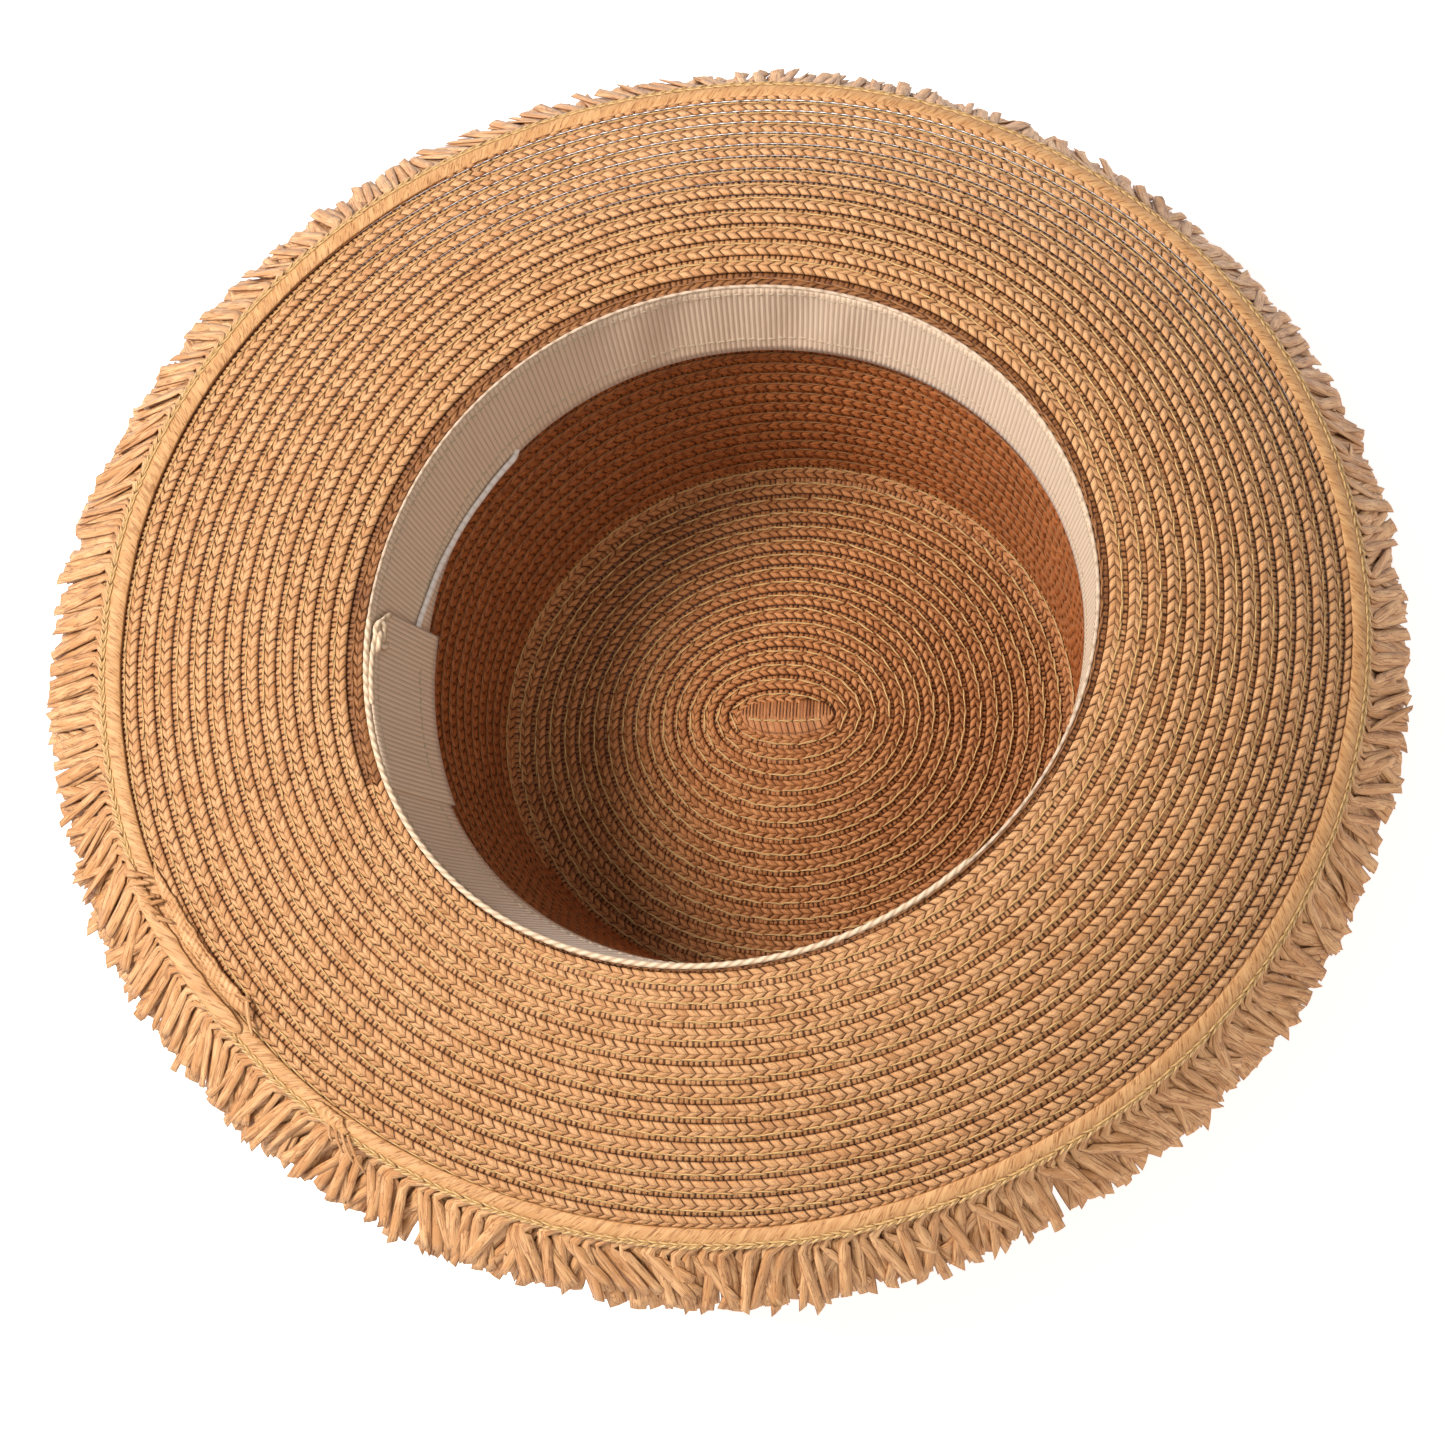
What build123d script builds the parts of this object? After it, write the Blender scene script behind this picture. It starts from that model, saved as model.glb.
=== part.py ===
"""Straw sun hat with a frayed raffia edge, standing on its crown with the head opening upwards.

The hat is one plaited paper-straw braid, sewn round and round on its own edge: first the
crown's tip, then its side, then the brim. The other pieces are sewn to it: the raffia trim
on the brim's edge, and the sweatband with its lap, its corded edge and its drawcord.

The origin is at the middle of the tip, at the height of the surface that the crown stands
on. +Z runs up the crown's axis and out of the head opening, and +X runs along the hat.
"""

import os
from math import cos, radians, sin

from build123d import *

os.makedirs("parts", exist_ok=True)

# ---------------------------------------------------------------- driving dimensions (mm)

# Crown: the head opening is the inside of the braid wall at its rim.
crown_height = 98.0
head_long = 184.0
head_wide = 175.0
opening_slope_x = 0.088
opening_slope_y = -0.038
opening_shift_y = 0.5
oval_turn = -8.0
wall = 2.0

# Tip: a shallow dish whose middle is pushed up, so that the hat stands on a flat ring.
tip_long = 158.0
tip_wide = 148.0
tip_edge_radius = 7.0
dent_height = 10.0
dent_radius = 50.0

# Button: the first turn of the braid, folded into a narrow oval.
button_half_wide = 4.0
core_half_long = 5.4

# Brim, measured along the hat from the rim of the crown to the inside of the trim.
brim_spread = 70.5
brim_curl_long = 6.0
brim_curl_wide = 8.5
brim_rise = 6.5
brim_droop = 53.0
brim_recurl = 22.0
brim_shift_x = -5.5
brim_shift_y = 1.5
brim_levelling = -0.103
brim_middle = 0.55

# Raffia trim: a woven header strip, a row of chain stitch, and two layers of fringe.
header_width = 4.0
header_thickness = 1.2
chain_width = 1.3
chain_thickness = 0.6
fringe_flare = 14.0
fringe_drop = 15.0
fringe_layer = 1.0

# Sweatband: a ribbon sewn inside the rim.
ribbon_width = 27.0
ribbon_thickness = 1.2
ribbon_top_gap = 1.8
lap_thickness = 0.9
lap_length = 42.0
lap_overhang = 2.0
thread_height = 0.4
thread_proud = 0.3
seam_inset = 2.2

# Cords on the sweatband.
selvedge_radius = 0.75
selvedge_gap = 0.1
knot_radius = 2.2
drawcord_width = 2.0
drawcord_thickness = 0.8
drawcord_edge_gap = 1.4
drawcord_visible_length = 62.0

# Where the ends of the braid and of the trim lie on the edge of the brim.
braid_end_width = 5.0
braid_end_thickness = 1.2
braid_end_from_y = -92.0
braid_end_to_y = -48.0
splice_x = -93.0
splice_length = 9.0
splice_thickness = 1.2

# ---------------------------------------------------------------- sizes that follow

half_long = head_long / 2 + wall
half_wide = head_wide / 2 + wall
tip_half_long = tip_long / 2
tip_half_wide = tip_wide / 2
tip_height = tip_edge_radius + 1.0
header_end = 1 + header_width / brim_spread
braid_edge = header_end + chain_width / brim_spread
beyond = 4 * head_long


def leaning_plane(height, slope_x=0.0, slope_y=0.0, shift_x=0.0, shift_y=0.0):
    """A plane across the crown's axis that leans by two slopes and turns with the oval."""
    turn = radians(oval_turn)
    along = (cos(turn), sin(turn), slope_x * cos(turn) + slope_y * sin(turn))
    return Plane(
        origin=(shift_x, shift_y, height),
        x_dir=along,
        z_dir=(-slope_x, -slope_y, 1),
    )


rim_plane = leaning_plane(
    crown_height, opening_slope_x, opening_slope_y, 0, opening_shift_y
)


def brim_ring(reach):
    """The brim's oval at a reach of 0 at the rim of the crown and 1 at the trim.

    Returns the plane that the oval lies in and its two half axes.
    """
    height = crown_height + brim_rise * reach - brim_droop * reach**2
    height += brim_recurl * reach**3
    plane = leaning_plane(
        height,
        opening_slope_x + brim_levelling * reach,
        opening_slope_y,
        brim_shift_x * reach**2,
        opening_shift_y + brim_shift_y * reach**2,
    )
    ring_long = half_long + brim_spread * reach - brim_curl_long * reach**2
    ring_wide = half_wide + brim_spread * reach - brim_curl_wide * reach**2
    return plane, ring_long, ring_wide


def brim_mass(lift, mode=Mode.ADD):
    """Everything under the brim's upper face, moved up by a lift.

    It runs on past the brim's edge, so that what is cut from it keeps its full thickness.
    """
    sections = []
    for reach in (0, 0.2, 0.4, 0.6, 0.8, 1.0, 1.2):
        plane, ring_long, ring_wide = brim_ring(reach)
        plane.origin += Vector(0, 0, lift)
        with BuildSketch(plane) as ring:
            Ellipse(ring_long, ring_wide)
        sections.append(ring.sketch)
    loft(sections=sections, mode=mode)


def fringe_mass(lift, mode=Mode.ADD):
    """Everything under the fringe, which falls away more steeply than the brim."""
    sections = []
    for part in (0, 1):
        plane, ring_long, ring_wide = brim_ring(braid_edge)
        plane.origin += Vector(0, 0, lift - fringe_drop * part)
        with BuildSketch(plane) as ring:
            Ellipse(ring_long + fringe_flare * part, ring_wide + fringe_flare * part)
        sections.append(ring.sketch)
    loft(sections=sections, ruled=True, mode=mode)


def upright_oval(reach, mode):
    """A tall upright oval block whose side passes through the brim at a reach.

    Its seam is a quarter turn from the brim's own, because seams that meet spoil the cut.
    """
    plane, ring_long, ring_wide = brim_ring(reach)
    floor = leaning_plane(0, 0, 0, plane.origin.X, plane.origin.Y)
    with BuildSketch(floor) as outline:
        Ellipse(ring_wide, ring_long, rotation=90)
    extrude(outline.sketch, amount=2 * crown_height, mode=mode)


def crown_mass(inset, mode=Mode.ADD):
    """The cone inside the crown's side, from the tip to the rim, drawn in by an inset."""
    with BuildSketch(Plane.XY.offset(tip_height)) as foot:
        Ellipse(tip_half_long - inset, tip_half_wide - inset)
    with BuildSketch(rim_plane) as rim:
        Ellipse(half_long - inset, half_wide - inset)
    loft(sections=[foot.sketch, rim.sketch], ruled=True, mode=mode)


def keep_depths(shallow, deep):
    """Keeps what lies between two depths below the rim."""
    with BuildSketch(rim_plane.offset(-deep)) as slab:
        Circle(head_long)
    extrude(slab.sketch, amount=deep - shallow, mode=Mode.INTERSECT)


def keep_box(low_x, high_x, low_y, high_y):
    """Keeps what lies in an upright box."""
    with BuildSketch(Plane.XY.offset(-beyond)) as outline:
        with Locations(((low_x + high_x) / 2, (low_y + high_y) / 2)):
            Rectangle(high_x - low_x, high_y - low_y)
    extrude(outline.sketch, amount=2 * beyond, mode=Mode.INTERSECT)


def wall_band(outer_inset, inner_inset, shallow, deep):
    """A band that lines the crown's wall between two insets and two depths below the rim."""
    with BuildPart() as band:
        crown_mass(outer_inset)
        crown_mass(inner_inset, mode=Mode.SUBTRACT)
        keep_depths(shallow, deep)
    return band.part


def dent_mass(lift, mode=Mode.ADD):
    """The hill that the pushed-in middle of the tip makes, moved up by a lift.

    It starts a little below its rim, so that it crosses the flat of the tip cleanly.
    """
    sections = []
    for share in (1.05, 0.9, 0.7, 0.5, 0.3, 0.1):
        radius = dent_radius * share
        height = dent_height * (1 - share**2)
        with BuildSketch(Plane.XY.offset(height + lift)) as ring:
            Ellipse(radius, core_half_long + radius, rotation=90)
        sections.append(ring.sketch)
    loft(sections=sections, mode=mode)


def button_outline(mode=Mode.ADD):
    """The upright oval of the button, which the tip's first turn is sewn round."""
    with BuildSketch(Plane.XY) as outline:
        Ellipse(core_half_long + button_half_wide, button_half_wide)
    extrude(outline.sketch, amount=crown_height, mode=mode)


# ---------------------------------------------------------------- crown and brim

with BuildPart() as crown_tip_braid:
    with BuildSketch(Plane.XY):
        Ellipse(tip_half_long, tip_half_wide)
    extrude(amount=tip_height)
    fillet(crown_tip_braid.edges().sort_by(Axis.Z)[0], tip_edge_radius)
    offset(amount=-wall, openings=crown_tip_braid.faces().sort_by(Axis.Z)[-1])
    dent_mass(wall)
    dent_mass(0, mode=Mode.SUBTRACT)
    button_outline(mode=Mode.SUBTRACT)
crown_tip_braid.part.label = "crown_tip_braid"

with BuildPart() as crown_button:
    dent_mass(wall)
    dent_mass(0, mode=Mode.SUBTRACT)
    button_outline(mode=Mode.INTERSECT)
crown_button.part.label = "crown_button"

with BuildPart() as crown_side_braid:
    crown_mass(0)
    crown_mass(wall, mode=Mode.SUBTRACT)
crown_side_braid.part.label = "crown_side_braid"

with BuildPart() as brim_inner_braid:
    brim_mass(0)
    crown_mass(0, mode=Mode.SUBTRACT)
    upright_oval(brim_middle, Mode.INTERSECT)
    brim_mass(-wall, mode=Mode.SUBTRACT)
brim_inner_braid.part.label = "brim_inner_braid"

with BuildPart() as brim_outer_braid:
    brim_mass(0)
    upright_oval(braid_edge, Mode.INTERSECT)
    upright_oval(brim_middle, Mode.SUBTRACT)
    brim_mass(-wall, mode=Mode.SUBTRACT)
brim_outer_braid.part.label = "brim_outer_braid"

with BuildPart() as braid_end:
    brim_mass(braid_end_thickness)
    upright_oval(1, Mode.INTERSECT)
    upright_oval(1 - braid_end_width / brim_spread, Mode.SUBTRACT)
    brim_mass(0, mode=Mode.SUBTRACT)
    keep_box(-beyond, 0, braid_end_from_y, braid_end_to_y)
braid_end.part.label = "braid_end"

# ---------------------------------------------------------------- raffia trim

with BuildPart() as trim_header:
    brim_mass(header_thickness)
    upright_oval(header_end, Mode.INTERSECT)
    upright_oval(1, Mode.SUBTRACT)
    brim_mass(0, mode=Mode.SUBTRACT)
trim_header.part.label = "trim_header"

with BuildPart() as trim_stitching:
    brim_mass(chain_thickness)
    upright_oval(braid_edge, Mode.INTERSECT)
    upright_oval(header_end, Mode.SUBTRACT)
    brim_mass(0, mode=Mode.SUBTRACT)
trim_stitching.part.label = "trim_stitching"

with BuildPart() as trim_splice:
    brim_mass(header_thickness + splice_thickness)
    upright_oval(header_end, Mode.INTERSECT)
    upright_oval(1, Mode.SUBTRACT)
    brim_mass(header_thickness, mode=Mode.SUBTRACT)
    keep_box(splice_x - splice_length / 2, splice_x + splice_length / 2, -beyond, 0)
trim_splice.part.label = "trim_splice"

with BuildPart() as fringe_upper:
    fringe_mass(0)
    upright_oval(braid_edge, Mode.SUBTRACT)
    fringe_mass(-fringe_layer, mode=Mode.SUBTRACT)
fringe_upper.part.label = "fringe_upper"

with BuildPart() as fringe_lower:
    fringe_mass(-fringe_layer)
    upright_oval(braid_edge, Mode.SUBTRACT)
    fringe_mass(-2 * fringe_layer, mode=Mode.SUBTRACT)
fringe_lower.part.label = "fringe_lower"

# ---------------------------------------------------------------- sweatband

ribbon_bottom = ribbon_top_gap + ribbon_width
ribbon_face = wall + ribbon_thickness
drawcord_bottom = ribbon_bottom - drawcord_edge_gap
drawcord_top = drawcord_bottom - drawcord_width

with BuildPart() as drawcord:
    add(
        wall_band(
            wall + drawcord_thickness,
            ribbon_face + drawcord_thickness,
            drawcord_top,
            drawcord_bottom,
        )
    )
    keep_box(-beyond, 0, -lap_overhang, drawcord_visible_length)
    add(wall_band(wall, wall + drawcord_thickness, drawcord_top, drawcord_bottom))
drawcord.part.label = "drawcord"

with BuildPart() as sweatband:
    add(wall_band(wall, ribbon_face, ribbon_top_gap, ribbon_bottom))
    add(drawcord.part, mode=Mode.SUBTRACT)
sweatband.part.label = "sweatband"

with BuildPart() as sweatband_stitching:
    for seam_top in (ribbon_top_gap + seam_inset, drawcord_top - seam_inset):
        seam_bottom = seam_top + thread_height
        add(wall_band(ribbon_face, ribbon_face + thread_proud, seam_top, seam_bottom))
sweatband_stitching.part.label = "sweatband_stitching"

with BuildPart() as sweatband_lap:
    lap_face = ribbon_face + lap_thickness
    add(wall_band(ribbon_face, lap_face, ribbon_top_gap, ribbon_bottom))
    keep_box(-beyond, 0, -lap_length, 0)
    add(drawcord.part, mode=Mode.SUBTRACT)
    add(sweatband_stitching.part, mode=Mode.SUBTRACT)
sweatband_lap.part.label = "sweatband_lap"

# The corded edge runs round the rim, just above the ribbon and clear of the braid wall.
selvedge_inset = wall + selvedge_gap + selvedge_radius
selvedge_depth = ribbon_top_gap - selvedge_gap - selvedge_radius
cord_plane = rim_plane.offset(-selvedge_depth)
taper = (half_long - tip_half_long) / (crown_height - tip_height)
cord_long = half_long - selvedge_inset - taper * selvedge_depth
cord_wide = half_wide - selvedge_inset - taper * selvedge_depth

with BuildPart() as selvedge_cord:
    with BuildLine(cord_plane) as cord_line:
        EllipticalCenterArc((0, 0), cord_long, cord_wide, arc_size=360)
    with BuildSketch(Plane(origin=cord_line.line @ 0, z_dir=cord_line.line % 0)):
        Circle(selvedge_radius)
    sweep()
selvedge_cord.part.label = "selvedge_cord"

knot_place = cord_plane.from_local_coords((-cord_long + knot_radius / 2, 0, 0))

with BuildPart() as selvedge_knot:
    with Locations(knot_place):
        Sphere(knot_radius)
    for neighbour in (selvedge_cord, sweatband, sweatband_lap, crown_side_braid):
        add(neighbour.part, mode=Mode.SUBTRACT)
    add(sweatband_stitching.part, mode=Mode.SUBTRACT)
selvedge_knot.part.label = "selvedge_knot"

# ---------------------------------------------------------------- write the parts

pieces = (
    crown_button,
    crown_tip_braid,
    crown_side_braid,
    brim_inner_braid,
    brim_outer_braid,
    braid_end,
    trim_header,
    trim_stitching,
    trim_splice,
    fringe_upper,
    fringe_lower,
    sweatband,
    sweatband_lap,
    sweatband_stitching,
    selvedge_cord,
    selvedge_knot,
    drawcord,
)
for piece in pieces:
    export_step(piece.part, f"parts/{piece.part.label}.step")
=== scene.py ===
# %% [markdown]
# # A straw sun hat, seen from above with its opening upwards
# The hat is one long plaited straw braid, sewn round and round into a crown and a brim, with a raffia trim on
# its edge and a ribbon sweatband in its head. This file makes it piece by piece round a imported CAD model.
# The CAD model is the frame: it says where everything is, and each piece made here stands for one of its parts.

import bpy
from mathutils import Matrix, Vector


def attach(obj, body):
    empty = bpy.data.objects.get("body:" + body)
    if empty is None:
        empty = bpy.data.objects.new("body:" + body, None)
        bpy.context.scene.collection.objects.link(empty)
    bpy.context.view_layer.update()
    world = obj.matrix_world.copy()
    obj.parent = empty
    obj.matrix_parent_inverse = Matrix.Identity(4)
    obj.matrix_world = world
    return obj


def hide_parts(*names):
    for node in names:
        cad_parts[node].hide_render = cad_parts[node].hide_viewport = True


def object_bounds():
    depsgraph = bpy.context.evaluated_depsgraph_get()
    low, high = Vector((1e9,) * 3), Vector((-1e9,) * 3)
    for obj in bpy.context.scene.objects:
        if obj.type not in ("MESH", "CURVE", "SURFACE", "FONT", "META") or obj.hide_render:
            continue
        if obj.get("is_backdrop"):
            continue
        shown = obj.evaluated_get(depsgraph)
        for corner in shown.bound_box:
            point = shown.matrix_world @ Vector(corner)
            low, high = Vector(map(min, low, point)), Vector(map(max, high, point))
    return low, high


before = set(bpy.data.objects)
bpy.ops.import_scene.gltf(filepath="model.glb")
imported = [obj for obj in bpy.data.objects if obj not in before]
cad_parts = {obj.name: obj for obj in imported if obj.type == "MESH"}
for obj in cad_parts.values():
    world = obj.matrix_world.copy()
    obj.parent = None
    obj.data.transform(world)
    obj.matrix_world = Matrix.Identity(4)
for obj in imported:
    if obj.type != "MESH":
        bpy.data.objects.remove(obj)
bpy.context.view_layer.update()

# %% Tools for the rest of the file
from math import cos, pi, radians, sin

import bmesh
import bpy
import numpy as np
from mathutils import Matrix

MM = 0.001
SEAM = 0.00001
dice = np.random.default_rng(7)


def unit(vectors):
    """Vectors of length 1 along the given ones."""
    return vectors / np.linalg.norm(vectors, axis=-1, keepdims=True)


# %% [markdown]
# ## Camera
# The hat is looked at from nearly straight above, leaning a little towards its right front. A camera matrix holds
# three directions, right, up and backwards, and a place. Writing them down fixes the view exactly, which is
# simpler than turning the camera by three angles.

# %% Camera
CAMERA_PLACE = np.array([214.0, -332.0, 1158.2]) * MM
CAMERA_BACK = np.array([0.1899, -0.2715, 0.9435])
CAMERA_RIGHT = np.array([0.9818, 0.0520, -0.1826])
LENS, SENSOR_WIDTH, FAR_CLIP = 114.05, 36.0, 20.0

camera_back = unit(CAMERA_BACK)
camera_up = unit(np.cross(camera_back, CAMERA_RIGHT))
camera_right = np.cross(camera_up, camera_back)
camera_data = bpy.data.cameras.new("camera")
camera_data.lens = LENS
camera_data.sensor_width = SENSOR_WIDTH
camera_data.clip_end = FAR_CLIP
camera = bpy.data.objects.new("camera", camera_data)
bpy.context.collection.objects.link(camera)
placed = np.eye(4)
placed[:3, 0], placed[:3, 1], placed[:3, 2] = camera_right, camera_up, camera_back
placed[:3, 3] = CAMERA_PLACE
camera.matrix_world = Matrix(placed.tolist())
bpy.context.scene.camera = camera
print("camera lens", camera_data.lens, "mm")

# %% [markdown]
# ## The hat's surface
# Everything is laid on one surface, so it is worth having it as a function. A distance is measured along the
# hat's profile, from the middle of the tip, over the tip's edge, up the side and out along the brim. An angle
# goes round the crown. Together they give a point, just as a map's grid gives a place on the ground. Sizes are
# in millimetres here, and become metres when a mesh is written.

# %% Sizes of the surface, in millimetres
OVAL_TURN = radians(-8.0)
WALL = 2.0
CROWN_HEIGHT = 98.0
SLOPE_X, SLOPE_Y = 0.088, -0.038
TIP_FLAT = 67.0
TIP_CURVE = 5.0
DENT_HEIGHT, DENT_RADIUS = 10.0, 65.0
FOOT_HEIGHT, FOOT_LONG, FOOT_WIDE = 8.0, 77.0, 72.0
RIM_LONG, RIM_WIDE = 92.0, 87.5
BRIM_SPREAD = 70.5

SIDE_START = TIP_FLAT + TIP_CURVE * pi / 2 + 1.0
SIDE_LENGTH = 92.0
RIM = SIDE_START + SIDE_LENGTH
TRIM = RIM + WALL + BRIM_SPREAD
HEADER_END = TRIM + 4.0
BRAID_EDGE = HEADER_END + 1.3


def leaning_oval(height, slope_x, slope_y, shift_x, shift_y, half_long, half_wide, angle):
    """Points on an oval that leans by two slopes. Every value may be an array."""
    across_x, across_y = cos(OVAL_TURN), sin(OVAL_TURN)
    rise = slope_x * across_x + slope_y * across_y
    along = unit(np.stack(np.broadcast_arrays(across_x, across_y, rise), -1))
    up = unit(np.stack(np.broadcast_arrays(-slope_x, -slope_y, 1.0), -1))
    across = np.cross(up, along)
    middle = np.stack(np.broadcast_arrays(shift_x, shift_y, height), -1)
    reach_long = (half_long * np.cos(angle))[..., None]
    reach_wide = (half_wide * np.sin(angle))[..., None]
    return middle + reach_long * along + reach_wide * across


def brim_point(reach, angle):
    """A point on the brim's upper face, at a reach of 0 at the rim and 1 at the trim."""
    return leaning_oval(
        CROWN_HEIGHT + 6.5 * reach - 53.0 * reach**2 + 22.0 * reach**3,
        SLOPE_X - 0.103 * reach,
        SLOPE_Y,
        -5.5 * reach**2,
        0.5 + 1.5 * reach**2,
        RIM_LONG + WALL + BRIM_SPREAD * reach - 6.0 * reach**2,
        RIM_WIDE + WALL + BRIM_SPREAD * reach - 8.5 * reach**2,
        angle,
    )


def side_point(share, angle):
    """A point on the inside of the crown's side, at a share of 0 at its foot and 1 at the rim."""
    nought = 0.0 * angle
    foot = np.stack(
        [FOOT_LONG * np.cos(angle), FOOT_WIDE * np.sin(angle), FOOT_HEIGHT + nought], -1
    )
    rim = leaning_oval(
        CROWN_HEIGHT + nought, SLOPE_X, SLOPE_Y, 0.0, 0.5, RIM_LONG, RIM_WIDE, angle
    )
    return foot + (rim - foot) * share[..., None]


def tip_point(distance, angle):
    """A point on the tip's upper face, with its pushed-up middle and its rounded edge."""
    bend = np.clip((distance - TIP_FLAT) / TIP_CURVE, 0.0, pi / 2)
    radius = np.minimum(distance, TIP_FLAT) + TIP_CURVE * np.sin(bend)
    climb = np.maximum(distance - (SIDE_START - 1.0), 0.0)
    core = np.interp(distance, [4.0, 40.0], [7.5, 5.0])
    dent = DENT_HEIGHT * np.clip(1 - (radius / DENT_RADIUS) ** 2, 0.0, 1.0) ** 2
    height = WALL + dent + TIP_CURVE * (1 - np.cos(bend)) + climb
    return np.stack(
        [(radius + core) * np.cos(angle), radius * np.sin(angle), height + 0.0 * angle], -1
    )


def turned_away(angle, middle, spread):
    """A smooth hill of 1 at one angle that falls to nothing to both sides of it."""
    gap = np.angle(np.exp(1j * (angle - radians(middle))))
    return np.exp(-((gap / radians(spread)) ** 2))


def hand_ease(distance, angle):
    """How far the sewn rim is pulled outwards by hand, most at the front left."""
    below = np.clip((distance - SIDE_START) / SIDE_LENGTH, 0.0, 1.0) ** 1.5
    beyond = np.clip(1 - (distance - RIM) / 52.0, 0.0, 1.0) ** 2
    ease = 1.8 + 4.0 * turned_away(angle, 228, 38) + 0.4 * np.sin(3 * angle + 0.5)
    edge = 1.2 * np.sin(2 * angle + 0.8) + 0.8 * np.sin(5 * angle) + 0.45 * np.sin(8 * angle + 2.0)
    outer = np.clip((distance - RIM) / 70.0, 0.0, 1.2) ** 2
    return ease * np.where(distance < RIM, below, beyond), edge * outer


def hat_point(distance, angle):
    """A point on the hat at a distance along its profile and an angle round the crown."""
    distance, angle = np.broadcast_arrays(np.asarray(distance, float), np.asarray(angle, float))
    pull, wave = hand_ease(distance, angle)
    around = angle + OVAL_TURN
    push = np.stack([pull * np.cos(around), pull * np.sin(around), wave], -1)
    tip = tip_point(np.minimum(distance, SIDE_START), angle)
    side = side_point(np.clip((distance - SIDE_START) / SIDE_LENGTH, 0.0, 1.0), angle)
    brim = brim_point((np.maximum(distance, RIM) - RIM - WALL) / BRIM_SPREAD, angle)
    on_tip = (distance < SIDE_START)[..., None]
    on_side = (distance < RIM)[..., None]
    return np.where(on_tip, tip, np.where(on_side, side, brim)) + push


def hat_frame(distance, angle):
    """The point, the way outwards along the profile, the way round, and the way off the face."""
    step = 0.3
    point = hat_point(distance, angle)
    turn_step = 0.002
    out = unit(hat_point(distance + step, angle) - hat_point(distance - step, angle))
    around = unit(hat_point(distance, angle + turn_step) - hat_point(distance, angle - turn_step))
    off = unit(np.cross(out, around))
    return point, out, around, off


print("profile from tip to trim:", round(TRIM, 1), "mm")

# %% [markdown]
# ## Turning a grid into a piece
# Blender's grid operator makes a flat sheet of squares with tidy UVs. Long soft pieces are all such a sheet with
# its vertices moved: rolled up it is a cord, bent round it is a ribbon. The helpers here make the grid, move its
# vertices in one go, and sew up the seam where a rolled sheet meets itself.


# %% Grid and piece helpers
def vertex_places(mesh):
    places = np.empty(len(mesh.vertices) * 3, np.float32)
    mesh.vertices.foreach_get("co", places)
    return places.reshape(-1, 3).astype(float)


def rework(mesh, change):
    """Runs one change on a mesh by the mesh operators, and turns its faces outwards."""
    bm = bmesh.new()
    bm.from_mesh(mesh)
    change(bm)
    bmesh.ops.recalc_face_normals(bm, faces=bm.faces)
    bm.to_mesh(mesh)
    bm.free()


def flat_grid(along, across):
    """A grid by the operator: its mesh, and each vertex's column and row numbers in it."""
    bm = bmesh.new()
    bm.loops.layers.uv.new("UVMap")
    bmesh.ops.create_grid(bm, x_segments=along, y_segments=across, size=0.5, calc_uvs=True)
    mesh = bpy.data.meshes.new("sheet")
    bm.to_mesh(mesh)
    bm.free()
    places = vertex_places(mesh)
    columns = np.rint((places[:, 0] + 0.5) * along).astype(int)
    rows = np.rint((places[:, 1] + 0.5) * across).astype(int)
    return mesh, columns, rows


def many_of(make_one, count):
    """A mesh with many copies of one small shape, made quickly by doubling."""
    bm = bmesh.new()
    bm.loops.layers.uv.new("UVMap")
    make_one(bm)
    doubled = bpy.data.meshes.new("one")
    bm.to_mesh(doubled)
    bm.free()
    together = bmesh.new()
    while count:
        if count % 2:
            together.from_mesh(doubled)
        count //= 2
        if count:
            twice = bmesh.new()
            twice.from_mesh(doubled)
            twice.from_mesh(doubled)
            twice.to_mesh(doubled)
            twice.free()
    mesh = bpy.data.meshes.new("many")
    together.to_mesh(mesh)
    together.free()
    bpy.data.meshes.remove(doubled)
    return mesh


def move_vertices(mesh, places):
    """Puts every vertex of a mesh at its place, given in millimetres."""
    mesh.vertices.foreach_set("co", (places * MM).astype(np.float32).ravel())
    mesh.update()


def set_uv(mesh, values):
    """Gives every corner of every face the UV of its vertex, from one pair for each vertex."""
    corner = np.empty(len(mesh.loops), int)
    mesh.loops.foreach_get("vertex_index", corner)
    layer = mesh.uv_layers[0] if mesh.uv_layers else mesh.uv_layers.new(name="UVMap")
    layer.data.foreach_set("uv", values[corner].astype(np.float32).ravel())


def sew_up(mesh, cap=True):
    """Joins the vertices that meet along a rolled sheet's seam and closes its open ends."""

    def sew(bm):
        bmesh.ops.remove_doubles(bm, verts=bm.verts, dist=SEAM)
        open_edges = [edge for edge in bm.edges if edge.is_boundary]
        if cap and open_edges:
            bmesh.ops.holes_fill(bm, edges=open_edges, sides=0)

    rework(mesh, sew)


def add_piece(name, mesh, material, stands_for=()):
    """Makes a mesh a piece of the hat: its finish, its body and what it stands for."""
    mesh.name = name
    mesh.materials.clear()
    mesh.materials.append(material)
    mesh.polygons.foreach_set("use_smooth", [True] * len(mesh.polygons))
    piece = bpy.data.objects.new(name, mesh)
    bpy.context.collection.objects.link(piece)
    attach(piece, "root")
    if stands_for:
        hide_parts(*stands_for)
    triangles = sum(len(face.vertices) - 2 for face in mesh.polygons)
    print(name, "has", triangles, "triangles")
    return piece


# %% [markdown]
# ## Materials
# Each finish is a small tree of nodes. The patterns read the piece's own UV map, laid out so that one unit is one
# plait along the braid and one row across it. A short helper class keeps the trees readable: it adds a node, and
# joins a socket or sets a plain number.


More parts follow.
